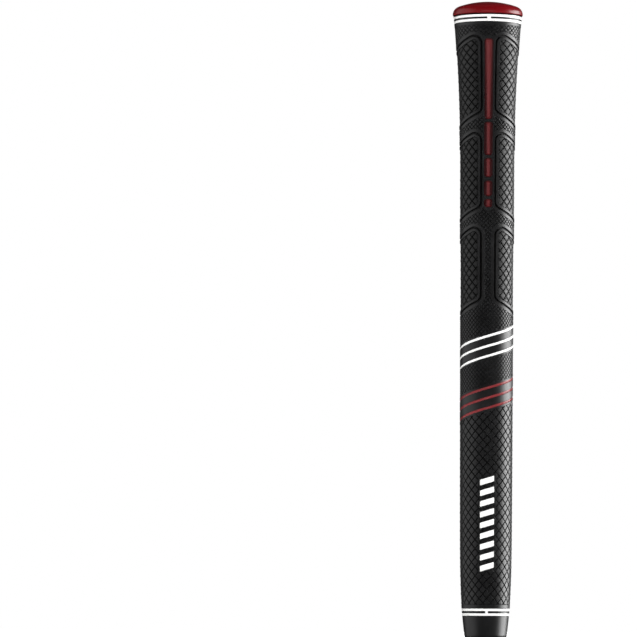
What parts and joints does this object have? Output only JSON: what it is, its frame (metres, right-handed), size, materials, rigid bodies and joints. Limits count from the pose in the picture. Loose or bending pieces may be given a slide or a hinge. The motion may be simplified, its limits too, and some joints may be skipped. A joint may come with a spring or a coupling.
{
  "type": "golf grip",
  "caption": "Tapered rubber golf grip with a flanged end cap, chevron side panels, an alignment line, painted rings and spiral stripes.",
  "frame": {"origin": "centre of the tip's mouth face, which is the bottom of the grip", "axes": "+Z along the bore from the tip to the butt cap; the alignment line faces -Y"},
  "size_m": [0.0296, 0.0296, 0.2675],
  "materials": {
    "rubber_black": "matt moulded rubber with diamond knurling",
    "core_grey": "plain stiff rubber",
    "rubber_red": "satin moulded rubber",
    "paint_white": "satin white paint fill",
    "paint_red": "satin red paint fill"
  },
  "bodies": {
    "root": {"grip_sleeve": "rubber_black", "stiff_core": "core_grey", "end_cap": "rubber_red", "butt_ring_inlay": "paint_white", "tip_ring_inlay": "paint_white", "alignment_dash_1": "paint_red", "alignment_dash_2": "paint_red", "alignment_dash_3": "paint_red", "alignment_dash_4": "paint_red", "alignment_dash_5": "paint_red", "white_stripe_1": "paint_white", "white_stripe_2": "paint_white", "white_stripe_3": "paint_white", "red_stripe_1": "paint_red", "red_stripe_2": "paint_red", "red_stripe_3": "paint_red", "mark_bar_1": "paint_white", "mark_bar_2": "paint_white", "mark_bar_3": "paint_white", "mark_bar_4": "paint_white", "mark_bar_5": "paint_white", "mark_bar_6": "paint_white", "mark_bar_7": "paint_white", "mark_bar_8": "paint_white", "mark_bar_9": "paint_white"}
  },
  "joints": []
}
